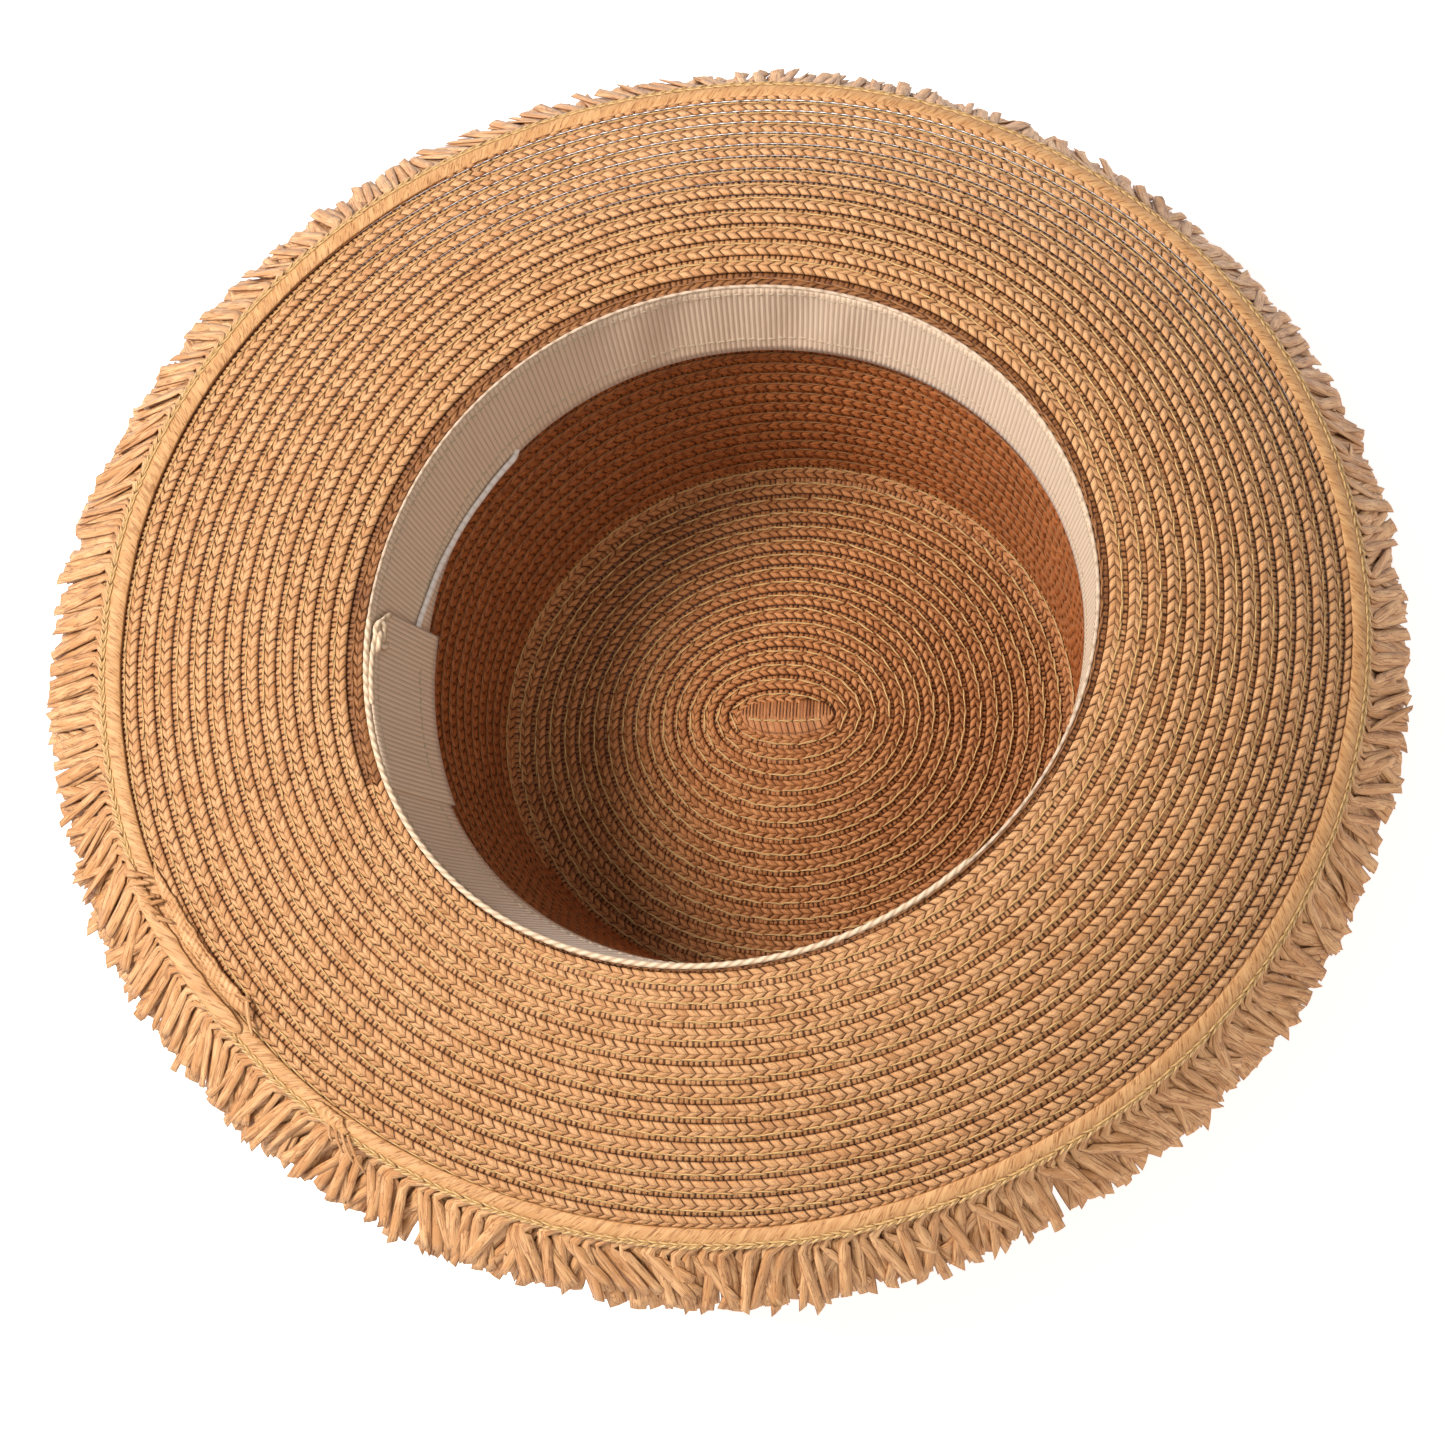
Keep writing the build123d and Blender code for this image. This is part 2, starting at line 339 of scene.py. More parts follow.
# %% A bench for building materials
class Bench:
    """A material being made, with its Principled shader and helpers for adding nodes."""

    def __init__(self, name, roughness=0.6, specular=0.35, sheen=0.0):
        self.material = bpy.data.materials.new(name)
        self.material.use_nodes = True
        self.nodes = self.material.node_tree.nodes
        self.links = self.material.node_tree.links
        self.shader = self.nodes["Principled BSDF"]
        self.shader.inputs["Roughness"].default_value = roughness
        self.shader.inputs["Specular IOR Level"].default_value = specular
        self.shader.inputs["Sheen Weight"].default_value = sheen

    def feed(self, socket, value):
        if isinstance(value, bpy.types.NodeSocket):
            self.links.new(value, socket)
        elif value is not None:
            socket.default_value = value

    def maths(self, operation, first, second=None, clamp=False):
        node = self.nodes.new("ShaderNodeMath")
        node.operation = operation
        node.use_clamp = clamp
        for socket, value in zip(node.inputs, (first, second)):
            self.feed(socket, value)
        return node.outputs[0]

    def add(self, first, second, clamp=False):
        return self.maths("ADD", first, second, clamp)

    def less(self, first, second, clamp=False):
        return self.maths("SUBTRACT", first, second, clamp)

    def times(self, first, second, clamp=False):
        return self.maths("MULTIPLY", first, second, clamp)

    def slide(self, value, low, high, to_low=0.0, to_high=1.0):
        """Maps a value smoothly from one range to another, and stops at the ends."""
        node = self.nodes.new("ShaderNodeMapRange")
        node.interpolation_type = "SMOOTHSTEP"
        for socket, number in zip(node.inputs, (value, low, high, to_low, to_high)):
            self.feed(socket, number)
        return node.outputs[0]

    def ramp(self, value, low, high, to_low=0.0, to_high=1.0):
        node = self.nodes.new("ShaderNodeMapRange")
        for socket, number in zip(node.inputs, (value, low, high, to_low, to_high)):
            self.feed(socket, number)
        return node.outputs[0]

    def mix(self, share, first, second):
        node = self.nodes.new("ShaderNodeMix")
        node.data_type = "RGBA"
        self.feed(node.inputs["Factor"], share)
        sockets = [s for s in node.inputs if s.type == "RGBA"]
        for socket, colour in zip(sockets, (first, second)):
            if isinstance(colour, bpy.types.NodeSocket):
                self.links.new(colour, socket)
            else:
                socket.default_value = (*colour, 1.0)
        return [s for s in node.outputs if s.type == "RGBA"][0]

    def uv(self):
        node = self.nodes.new("ShaderNodeUVMap")
        node.uv_map = "UVMap"
        split = self.nodes.new("ShaderNodeSeparateXYZ")
        self.links.new(node.outputs[0], split.inputs[0])
        return split.outputs[0], split.outputs[1]

    def pair(self, x, y, z=0.0):
        node = self.nodes.new("ShaderNodeCombineXYZ")
        for socket, value in zip(node.inputs, (x, y, z)):
            self.feed(socket, value)
        return node.outputs[0]

    def noise(self, place, scale, detail=2.0, roughness=0.5):
        node = self.nodes.new("ShaderNodeTexNoise")
        self.links.new(place, node.inputs["Vector"])
        node.inputs["Scale"].default_value = scale
        node.inputs["Detail"].default_value = detail
        node.inputs["Roughness"].default_value = roughness
        return node.outputs["Fac"]

    def chance(self, place):
        node = self.nodes.new("ShaderNodeTexWhiteNoise")
        node.noise_dimensions = "3D"
        self.links.new(place, node.inputs["Vector"])
        return node.outputs["Value"]

    def finish(self, colour, height=None, distance=0.0002, strength=0.7, roughness=None):
        if isinstance(colour, bpy.types.NodeSocket):
            self.links.new(colour, self.shader.inputs["Base Color"])
        else:
            self.shader.inputs["Base Color"].default_value = (*colour, 1.0)
        if height is not None:
            bump = self.nodes.new("ShaderNodeBump")
            bump.inputs["Distance"].default_value = distance
            bump.inputs["Strength"].default_value = strength
            self.links.new(height, bump.inputs["Height"])
            self.links.new(bump.outputs[0], self.shader.inputs["Normal"])
        if roughness is not None:
            self.links.new(roughness, self.shader.inputs["Roughness"])
        return self.material


STRAW = (0.60, 0.290, 0.115)
STRAW_PALE = (0.80, 0.480, 0.245)
STRAW_DEEP = (0.30, 0.105, 0.030)
# This dark colour is painted shade, for the braid's gaps and the band under each row's lip.
STRAW_GAP_SHADE = (0.055, 0.014, 0.003)
# A darker copy of the straw for the inside of the crown's tip: painted shade, standing in for the shade inside the
# crown.
TIP_SHADED_STRAW, TIP_SHADED_PALE, TIP_SHADED_DEEP = (0.44, 0.160, 0.048), (0.66, 0.310, 0.125), (0.19, 0.050, 0.010)
# A still darker copy for the rows where the braid turns down over the rim: painted shade for the shade in that
# turn.
RIM_SHADED_STRAW, RIM_SHADED_PALE, RIM_SHADED_DEEP = (0.26, 0.092, 0.024), (0.46, 0.21, 0.075), (0.10, 0.026, 0.006)
# The same for the crown's side: a darker copy of the straw, painted shade.
SIDE_SHADED_STRAW, SIDE_SHADED_PALE, SIDE_SHADED_DEEP = (0.33, 0.085, 0.015), (0.50, 0.165, 0.045), (0.14, 0.030, 0.005)
GOLD_THREAD = (0.76, 0.49, 0.205)
GOLD_DARK = (0.34, 0.165, 0.050)

# %% [markdown]
# ### Braid
# A plait shows a slanting scale on its raised lip, a smaller one leaning the other way below it, and then a ladder
# of short cross ribs before the next row covers it. The finish follows the same slants as the mesh, so its painted
# shade in the gaps falls in the mesh's own hollows. Fine fibres run along each strand.

# %% Braid layout shared by the mesh and its finish
LIP = 0.37
SCALES = 0.58
THREAD_LINE = 0.655
RIBS = 0.71
UNDERLAP = 1.16
SLANT = 0.5


def plait_slant(across):
    """How far a plait's edge has moved along the braid at a place across the row."""
    there = np.interp(across, [0.0, LIP], [0.0, SLANT])
    back = np.interp(across, [LIP, SCALES], [0.0, SLANT])
    return there - back


# %% Straw braid finish
def straw_braid_finish(name, main, pale, deep_tone):
    """The braid's finish. Its outer face is always plain straw, and its inner face takes the tones given; on the
    crown's inside and at the rim's turn these are darker copies of the straw that paint in shade.
    """
    bench = Bench(name, roughness=0.5, specular=0.35)
    along, face = bench.uv()
    outer_face = bench.maths("GREATER_THAN", face, UNDERLAP)
    main = bench.mix(outer_face, main, STRAW)
    pale = bench.mix(outer_face, pale, STRAW_PALE)
    deep_tone = bench.mix(outer_face, deep_tone, STRAW_DEEP)
    other_face = bench.less(2 * UNDERLAP, face)
    across = bench.maths("MINIMUM", face, other_face)
    there = bench.ramp(across, 0.0, LIP, 0.0, SLANT)
    back = bench.ramp(across, LIP, SCALES, 0.0, SLANT)
    plait = bench.add(bench.less(along, there), back)
    part = bench.maths("FRACT", plait)
    number = bench.maths("FLOOR", plait)
    band = bench.maths("GREATER_THAN", across, LIP)
    rib_band = bench.slide(across, SCALES + 0.02, RIBS)
    scale_band = bench.less(1.0, rib_band)

    tone = bench.chance(bench.pair(number, band, 0.0))
    tightness = bench.chance(bench.pair(number, band, 5.0))
    fibres = bench.noise(
        bench.pair(bench.times(plait, 8.0), bench.times(across, 3.5), band),
        1.0, detail=4.0, roughness=0.65,
    )
    crinkle = bench.noise(
        bench.pair(bench.times(along, 3.0), bench.times(face, 5.0)), 2.2,
        detail=3.0, roughness=0.7,
    )
    drift = bench.noise(bench.pair(along, face), 0.11, detail=2.0)

    # The dark gaps between the scales, the dark spine line between the two slants, the dark gaps between the ribs
    # and the dark band under the next row's lip are painted shade, where the braid's hollows and overlaps lie in
    # shade.
    edge = bench.maths("MINIMUM", part, bench.less(1.0, part))
    gap_width = bench.ramp(tightness, 0.0, 1.0, 0.05, 0.16)
    gap = bench.less(1.0, bench.slide(edge, 0.015, gap_width), clamp=True)
    gap = bench.times(gap, bench.ramp(tightness, 0.0, 0.6, 0.45, 1.0))
    spine = bench.maths("ABSOLUTE", bench.less(across, LIP))
    spine = bench.less(1.0, bench.slide(spine, 0.0, 0.035), clamp=True)
    spine = bench.times(spine, 0.55)
    scale_dark = bench.times(bench.maths("MAXIMUM", gap, spine), scale_band)

    rib_line = bench.maths("FRACT", bench.times(along, 2.0))
    rib_edge = bench.maths("MINIMUM", rib_line, bench.less(1.0, rib_line))
    rib_chance = bench.chance(
        bench.pair(bench.maths("ROUND", bench.times(along, 2.0)), 1.0, 9.0)
    )
    rib_width = bench.ramp(rib_chance, 0.0, 1.0, 0.10, 0.36)
    rib_gap = bench.less(1.0, bench.slide(rib_edge, 0.04, rib_width), clamp=True)
    rib_dark = bench.times(rib_gap, rib_band)
    rib_dark = bench.times(rib_dark, bench.ramp(rib_chance, 0.0, 0.5, 0.35, 1.0))
    under_lip_shade = bench.slide(across, 0.93, 1.06, 0.0, 0.95)
    dark = bench.maths("MAXIMUM", bench.maths("MAXIMUM", scale_dark, rib_dark), under_lip_shade)
    dark = bench.times(dark, 0.94)

    # shade is painted shade: each scale darkens towards its start, where the next scale overlaps it.
    shade = bench.slide(part, 0.0, 0.5, 0.62, 1.0)
    light = bench.times(tone, 0.34)
    light = bench.add(light, bench.ramp(fibres, 0.3, 0.7, -0.35, 0.45))
    light = bench.add(light, bench.ramp(crinkle, 0.35, 0.65, -0.25, 0.30))
    light = bench.add(light, bench.ramp(drift, 0.35, 0.65, -0.10, 0.14))
    light = bench.times(light, shade, clamp=True)
    colour = bench.mix(light, main, pale)
    # The deep tone is partly painted shade, from the shade gradient and the darkening towards the row's outer part
    # under the next row's lip, and partly random tone from the plait's tone and the crinkle.
    deep = bench.less(1.0, shade)
    deep = bench.add(deep, bench.ramp(tone, 0.0, 0.25, 0.28, 0.0))
    deep = bench.add(deep, bench.ramp(crinkle, 0.32, 0.48, 0.40, 0.0))
    deep = bench.add(deep, bench.ramp(across, SCALES, 1.0, 0.0, 0.25), clamp=True)
    colour = bench.mix(deep, colour, deep_tone)
    colour = bench.mix(dark, colour, STRAW_GAP_SHADE)

    dome = bench.times(edge, bench.ramp(part, 0.0, 1.0, 2.2, 1.2))
    dome = bench.maths("MINIMUM", dome, 0.6)
    rib_dome = bench.times(rib_edge, 1.2)
    height = bench.add(bench.times(dome, scale_band),
                         bench.times(rib_dome, rib_band))
    height = bench.add(height, bench.times(fibres, 0.45))
    height = bench.add(height, bench.times(crinkle, 0.55))
    height = bench.less(height, bench.times(dark, 0.8))
    roughness = bench.ramp(fibres, 0.3, 0.7, 0.62, 0.42)
    return bench.finish(colour, height, distance=0.00035, strength=0.8, roughness=roughness)


straw = straw_braid_finish("straw_braid", STRAW, STRAW_PALE, STRAW_DEEP)
tip_shaded_straw = straw_braid_finish("straw_braid_tip_shaded", TIP_SHADED_STRAW, TIP_SHADED_PALE, TIP_SHADED_DEEP)
side_shaded_straw = straw_braid_finish("straw_braid_side_shaded", SIDE_SHADED_STRAW, SIDE_SHADED_PALE, SIDE_SHADED_DEEP)
rim_shaded_straw = straw_braid_finish("straw_braid_rim_shaded", RIM_SHADED_STRAW, RIM_SHADED_PALE, RIM_SHADED_DEEP)
print("straw nodes:", len(straw.node_tree.nodes))

# %% Raffia finish for the trim's header and fringe
def raffia_finish(name, slant, scale_along, pale, main, deep):
    """Paper raffia: long fine fibres along the strand, and a tone of its own for each strand, with painted shade in
    its creases and along its edges.
    """
    bench = Bench(name, roughness=0.55, specular=0.3)
    along, across = bench.uv()
    strand = bench.maths("FLOOR", across)
    tone = bench.chance(bench.pair(strand, 3.0, 1.0))
    lean = bench.add(across, bench.times(along, slant))
    fibres = bench.noise(
        bench.pair(bench.times(lean, 9.0), bench.times(along, scale_along), strand),
        1.0, detail=4.0, roughness=0.6,
    )
    streak = bench.noise(
        bench.pair(bench.times(lean, 2.5), bench.times(along, 0.4), strand),
        1.0, detail=1.0,
    )
    light = bench.add(bench.times(tone, 0.55), bench.ramp(streak, 0.35, 0.65, -0.25, 0.4))
    light = bench.add(light, bench.ramp(fibres, 0.35, 0.65, -0.38, 0.32), clamp=True)
    colour = bench.mix(light, main, pale)
    lines = bench.slide(fibres, 0.32, 0.47, 0.85, 0.0)
    colour = bench.mix(lines, colour, deep)
    # The dark crease lines and the dark strand edges are painted shade, in the folds and in the gaps between
    # neighbouring strands.
    crease = bench.maths("ABSOLUTE", bench.less(streak, 0.5))
    colour = bench.mix(bench.slide(crease, 0.0, 0.022, 0.55, 0.0), colour, deep)
    edge = bench.maths("PINGPONG", across, 0.5)
    colour = bench.mix(bench.slide(edge, 0.05, 0.12, 0.70, 0.0), colour, deep)
    return bench.finish(colour, fibres, distance=0.00025, strength=0.7)


fringe_straw = raffia_finish(
    "raffia_fringe", 0.0, 0.35, (0.74, 0.430, 0.205), (0.53, 0.250, 0.095), (0.20, 0.065, 0.018)
)
header_straw = raffia_finish(
    "raffia_header", 0.55, 1.2, (0.68, 0.385, 0.170), (0.53, 0.255, 0.098), (0.24, 0.085, 0.022)
)

# %% [markdown]
# ### Thread, ribbon and cord
# Thread is two plies twisted together, so slanting bands run round it, with painted shade in the valleys between
# the plies. Grosgrain is a ribbon with thick cross ribs under fine lengthwise threads, and its ribs show as narrow
# lights and darks across its length, the darks being painted shade in the grooves between the ribs.


# %% Thread and cord finish
def twisted_finish(name, pale, dark, turns, roughness=0.6):
    bench = Bench(name, roughness=roughness, specular=0.3, sheen=0.1)
    along, around = bench.uv()
    twist = bench.add(bench.times(along, turns), bench.times(around, 2.0))
    ply = bench.maths("PINGPONG", twist, 0.5)
    fuzz = bench.noise(bench.pair(bench.times(along, 5.0), around), 3.0, detail=3.0)
    # The valleys between the plies are darker: painted shade.
    light = bench.times(bench.slide(ply, 0.0, 0.4), bench.ramp(fuzz, 0.3, 0.7, 0.7, 1.0))
    colour = bench.mix(light, dark, pale)
    return bench.finish(colour, light, distance=0.0002, strength=0.6)


# A darker thread for the crown's side: painted shade, for the shade inside the crown.
shaded_side_thread = twisted_finish("shaded_side_thread", (0.40, 0.17, 0.055), (0.18, 0.06, 0.015), 3.0, roughness=0.45)
gold_thread = twisted_finish("gold_thread", GOLD_THREAD, GOLD_DARK, 3.0, roughness=0.45)
cream_thread = twisted_finish("cream_thread", (0.74, 0.62, 0.46), (0.40, 0.30, 0.19), 3.0)
cream_cord = twisted_finish("cream_cord", (0.80, 0.63, 0.45), (0.50, 0.35, 0.22), 1.0)


# %% Grosgrain and tape finishes
def grosgrain_finish(name, pale, main, groove, ribs):
    """A ribbon's cross ribs: along is counted in millimetres and across in widths."""
    bench = Bench(name, roughness=0.75, specular=0.2, sheen=0.25)
    along, across = bench.uv()
    rib = bench.maths("PINGPONG", bench.times(along, ribs), 0.5)
    rib = bench.times(rib, 2.0)
    warp = bench.maths("PINGPONG", bench.times(across, 60.0), 0.5)
    slub = bench.noise(bench.pair(bench.times(along, 0.8), across), 3.0, detail=3.0)
    light = bench.add(bench.ramp(slub, 0.3, 0.7, 0.1, 0.7), bench.times(warp, 0.4), clamp=True)
    colour = bench.mix(light, main, pale)
    # The grooves between the ribs are darkened: painted shade.
    colour = bench.mix(bench.slide(rib, 0.55, 0.0, 0.0, 0.70), colour, groove)
    height = bench.add(rib, bench.times(warp, 0.3))
    return bench.finish(colour, height, distance=0.00025, strength=0.7)


grosgrain = grosgrain_finish("grosgrain", (0.82, 0.64, 0.48), (0.69, 0.50, 0.35), (0.42, 0.27, 0.165), 0.70)
white_tape = grosgrain_finish("white_tape", (0.97, 0.92, 0.88), (0.93, 0.87, 0.82), (0.72, 0.64, 0.58), 1.2)

# %% [markdown]
# ## The braid
# The braid runs as one spiral from the middle of the tip to the edge of the brim, and each row's inner lip lies on
# the row before it, like roof shingles. So one cross-section is enough: a thin closed strip with its lip raised,
# a row of scales, a groove for the thread and a ladder of ribs. A grid is rolled into that section and bent along
# the spiral. Four columns of vertices for each plait put a hollow between every two scales.

# %% The spiral
TIP_ROWS, SIDE_ROWS, BRIM_ROWS = 17.0, 19.0, 14.0
ROW_MARKS = np.array([0.0, TIP_ROWS, TIP_ROWS + SIDE_ROWS, TIP_ROWS + SIDE_ROWS + BRIM_ROWS])
ROW_PLACES = np.array([0.4, 71.0, RIM, TRIM])
START_ANGLE = radians(215.0)
LAST_ROW = ROW_MARKS[-1]


def row_place(turns):
    """The distance along the profile of the braid's inner edge after some turns."""
    return np.interp(turns, ROW_MARKS, ROW_PLACES)


def row_width(turns):
    return row_place(np.minimum(turns + 0.5, LAST_ROW)) - row_place(np.minimum(turns + 0.5, LAST_ROW) - 1.0)


fine_turns = np.linspace(0.0, LAST_ROW, 30000)
fine_points = hat_point(row_place(fine_turns) + 2.0, 2 * pi * fine_turns + START_ANGLE)
fine_steps = np.linalg.norm(np.diff(fine_points, axis=0), axis=1)
fine_lengths = np.concatenate([[0.0], np.cumsum(fine_steps)])
plait_pitch = np.interp(fine_turns, [0.0, 14.0, 22.0], [2.6, 2.7, 3.0])
plait_counts = np.concatenate([[0.0], np.cumsum(fine_steps / plait_pitch[1:])])
PLAITS = int(plait_counts[-1])
plait_marks = np.arange(PLAITS + 1) + np.concatenate([[0.0], dice.uniform(-0.12, 0.12, PLAITS)])
plait_turns = np.interp(plait_marks, plait_counts, fine_turns)
plait_swell = dice.uniform(0.65, 1.3, PLAITS + 8)
plait_lift = dice.normal(0.0, 0.06, PLAITS + 8)
print("braid length", round(fine_lengths[-1] / 1000, 1), "m with", PLAITS, "plaits")

# %% The braid's cross-section
# Each entry is a place across the row, a height in millimetres, and how deep its four columns go.
FLAT = (0.0, 0.0, 0.0, 0.0)
SCALE = (-0.30, 0.12, 0.18, 0.02)
SMALL_SCALE = (-0.24, 0.12, 0.14, 0.0)
RUNG = (-0.20, 0.14, -0.20, 0.14)
UNDER = (0.18, -0.10, -0.14, 0.0)
SECTION = (
    (0.00, 0.45, FLAT),
    (0.05, 0.95, SCALE),
    (0.19, 1.15, SCALE),
    (0.33, 0.98, SCALE),
    (LIP, 0.84, SMALL_SCALE),
    (0.48, 0.86, SMALL_SCALE),
    (SCALES, 0.62, SMALL_SCALE),
    (THREAD_LINE, 0.36, FLAT),
    (0.76, 0.46, RUNG),
    (0.92, 0.22, RUNG),
    (UNDERLAP, -0.30, FLAT),
    (UNDERLAP + 0.10, -0.80, FLAT),
    (UNDERLAP + 0.55, -0.32, UNDER),
    (2 * UNDERLAP - 0.12, 0.02, UNDER),
)
COLUMNS = 4
COLUMN_SHARES = np.array([0.0, 0.18, 0.5, 0.82])
BASE_DROP = 0.9


def braid_strip(name, first_plait, last_plait, finish, stands_for=()):
    """One length of the braid, from one plait to another, laid along the spiral."""
    around = len(SECTION)
    mesh, column, row = flat_grid((last_plait - first_plait) * COLUMNS, around)
    face = np.array([entry[0] for entry in SECTION] + [2 * UNDERLAP])
    heights = np.array([entry[1] for entry in SECTION] + [SECTION[0][1]])
    relief = np.array([entry[2] for entry in SECTION] + [SECTION[0][2]])
    across = np.minimum(face, 2 * UNDERLAP - face)[row]
    plait = first_plait + column // COLUMNS
    share = column % COLUMNS
    place = plait + COLUMN_SHARES[share] + plait_slant(across)
    turns = np.interp(place, np.arange(PLAITS + 1), plait_turns)
    swell = plait_swell[plait]
    height = heights[row] + relief[row, share] * swell + plait_lift[plait] * (heights[row] > 0.5)
    distance = row_place(turns) + across * row_width(turns)
    point, _, _, off = hat_frame(distance, 2 * pi * turns + START_ANGLE)
    move_vertices(mesh, point + off * (height - BASE_DROP)[:, None])
    set_uv(mesh, np.stack([place - first_plait // 64 * 64, face[row]], -1))
    sew_up(mesh)
    return add_piece(name, mesh, finish, stands_for)


def plait_at(turns):
    return int(np.interp(turns, fine_turns, plait_counts))


# %% Lay the braid
# The last plaits before the brim, where the braid turns over the rim, take the rim's darker straw copy: painted
# shade.
RIM_PLAITS = 250
side_start, brim_start = plait_at(TIP_ROWS), plait_at(TIP_ROWS + SIDE_ROWS)
side_middle = (side_start + brim_start) // 2
rim_start = brim_start - RIM_PLAITS
brim_third = (PLAITS - 2 - brim_start) // 3
# The tip and the side take the darker straw copies, which are painted shade for the inside of the crown.
braid_strip("braid_tip", 0, side_start, tip_shaded_straw, ["crown_tip_braid"])
braid_strip("braid_side_lower", side_start, side_middle, side_shaded_straw, ["crown_side_braid"])
braid_strip("braid_side_upper", side_middle, rim_start, side_shaded_straw)
braid_strip("braid_rim", rim_start, brim_start, rim_shaded_straw)
braid_strip("braid_brim_inner", brim_start, brim_start + brim_third, straw, ["brim_inner_braid"])
braid_strip("braid_brim_middle", brim_start + brim_third, brim_start + 2 * brim_third, straw)
braid_strip("braid_brim_outer", brim_start + 2 * brim_third, PLAITS - 2, straw, ["brim_outer_braid"])

# %% [markdown]
# ### Button
# The tip starts with the braid's own end, folded flat into a narrow oval that the first turn is sewn round. It is
# a short straight length of the same strip, so a grid is laid straight and its ends are drawn in.


# %% Button
BUTTON_RIBS = 28
BUTTON_HALF_LONG, BUTTON_HALF_WIDE, BUTTON_SHIFT = 12.6, 5.5, 0.6


def button():
    across_rows = 12
    mesh, column, row = flat_grid(BUTTON_RIBS, across_rows * 2)
    share = column / BUTTON_RIBS
    half = np.where(row <= across_rows, row, 2 * across_rows - row) / across_rows
    upper = row <= across_rows
    x = (share - 0.5) * 2
    width = BUTTON_HALF_WIDE * np.clip(1 - np.abs(x) ** 3.0, 0.0, 1.0) ** 0.5
    y = (half - 0.5) * 2 * width - 0.9 * (1 - x**2)
    dome = np.sin(np.clip(half, 0.0, 1.0) * pi) ** 0.4
    rib = 0.16 * np.cos(column * pi) * (np.abs(half - 0.5) > 0.12)
    height = np.where(upper, 0.75 * dome + rib * dome, -0.7 * dome)
    point = np.stack([x * BUTTON_HALF_LONG + BUTTON_SHIFT, y, WALL + DENT_HEIGHT - 0.25 + height], -1)
    move_vertices(mesh, point)
    set_uv(mesh, np.stack([x * 7.0 + 8.0, 0.30 + 0.72 * half], -1))
    sew_up(mesh)
    return add_piece("braid_button", mesh, tip_shaded_straw, ["crown_button"])


button()

# %% [markdown]
# ### Thread
# A long stitch of twisted thread lies in the groove of every row, golden on the tip and the brim, and on the side a
# darker thread that paints in the shade inside the crown. There are thousands, so each one is a small ball of
# twenty faces, drawn out into a spindle on its own line.


# %% Stitch helper
BALL_SIDES, BALL_RINGS = 5, 4


def one_ball(bm):
    bmesh.ops.create_uvsphere(bm, u_segments=BALL_SIDES, v_segments=BALL_RINGS, radius=0.5, calc_uvs=True)


def stitches(name, point, way, off, length, width, height, material, stands_for=()):
    """Spindles at points, along one direction and standing off along another."""
    count = len(point)
    mesh = many_of(one_ball, count)
    local = vertex_places(mesh).reshape(count, -1, 3)
    side = unit(np.cross(off, way))
    reach = local[:, :, 2] * np.broadcast_to(length, count)[:, None]
    spread = local[:, :, 0] * np.broadcast_to(width, count)[:, None]
    lift = local[:, :, 1] * np.broadcast_to(height, count)[:, None]
    places = (
        point[:, None]
        + reach[:, :, None] * way[:, None]
        + spread[:, :, None] * side[:, None]
        + lift[:, :, None] * off[:, None]
    )
    move_vertices(mesh, places.reshape(-1, 3))
    rework(mesh, lambda bm: None)
    return add_piece(name, mesh, material, stands_for)


# %% Thread on the button
button_share = np.array([-0.66, -0.34, -0.02, 0.30, 0.60])
button_line = np.stack(
    [
        button_share * BUTTON_HALF_LONG + BUTTON_SHIFT,
        -1.0 - 0.9 * (1 - button_share**2),
        WALL + DENT_HEIGHT + 0.60 - 0.25 * button_share**2,
    ],
    -1,
)
upwards = np.tile([0.0, 0.0, 1.0], (5, 1))
sewing_way = np.stack([np.ones(5), 0.14 * button_share, np.zeros(5)], -1)
stitches("button_thread", button_line, sewing_way, upwards, 4.3, 0.75, 0.5, gold_thread)


# %% Thread in every row
STITCH_PITCH = 5.2


def braid_thread(name, first_turn, last_turn, finish):
    start, end = np.interp([first_turn, last_turn], fine_turns, fine_lengths)
    place = np.arange(start, end, STITCH_PITCH)
    place = place + dice.uniform(-0.5, 0.5, len(place))
    turns = np.interp(place, fine_lengths, fine_turns)
    across = THREAD_LINE + dice.normal(0.0, 0.012, len(place))
    distance = row_place(turns) + across * row_width(turns)
    point, out, way, off = hat_frame(distance, 2 * pi * turns + START_ANGLE)
    lean = dice.normal(0.075, 0.035, len(place))[:, None]
    way = unit(way + out * lean)
    length = dice.uniform(5.4, 7.2, len(place))
    width = dice.uniform(0.55, 0.78, len(place))
    point = point + off * (0.74 - BASE_DROP)
    return stitches(name, point, way, off, length, width, 0.55, finish)


braid_thread("thread_tip", 0.4, TIP_ROWS, gold_thread)
braid_thread("thread_side", TIP_ROWS, TIP_ROWS + SIDE_ROWS, shaded_side_thread)
braid_thread("thread_brim", TIP_ROWS + SIDE_ROWS, LAST_ROW - 0.1, gold_thread)

# %% [markdown]
# ## Raffia trim
# The brim's edge is bound by a flat strip of raffia, held by a line of chain stitch, with the fringe's strands
# hanging from under it. The strip is a grid rolled into a low dome and closed on itself all the way round.


# %% The trim's header
EDGE_ROUND = 1030.0
WOBBLE = 0.08


